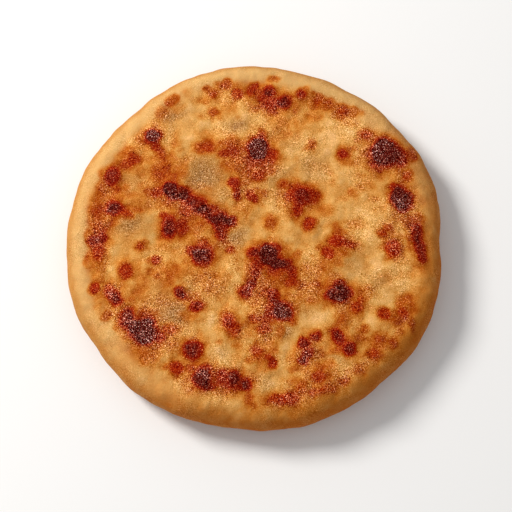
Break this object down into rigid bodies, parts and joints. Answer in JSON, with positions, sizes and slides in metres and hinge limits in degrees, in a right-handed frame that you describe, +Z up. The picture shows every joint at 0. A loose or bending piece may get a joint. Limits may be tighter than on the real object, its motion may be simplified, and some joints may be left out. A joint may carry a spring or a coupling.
{
  "type": "paratha",
  "caption": "Thick round pan-baked flat bread with a softly rounded side and browned blisters, lying on its flat underside.",
  "frame": {"origin": "middle of the bread's footprint, on the surface that it lies on", "axes": "+Z up out of the browned top; +X to the right and +Y away as the bread is seen from the front"},
  "size_m": [0.1642, 0.1648, 0.0224],
  "materials": {
    "baked_crust": "golden baked dough with browned spots, dry and matt with a faint sheen of fat"
  },
  "bodies": {
    "root": {"paratha": "baked_crust"}
  },
  "joints": []
}
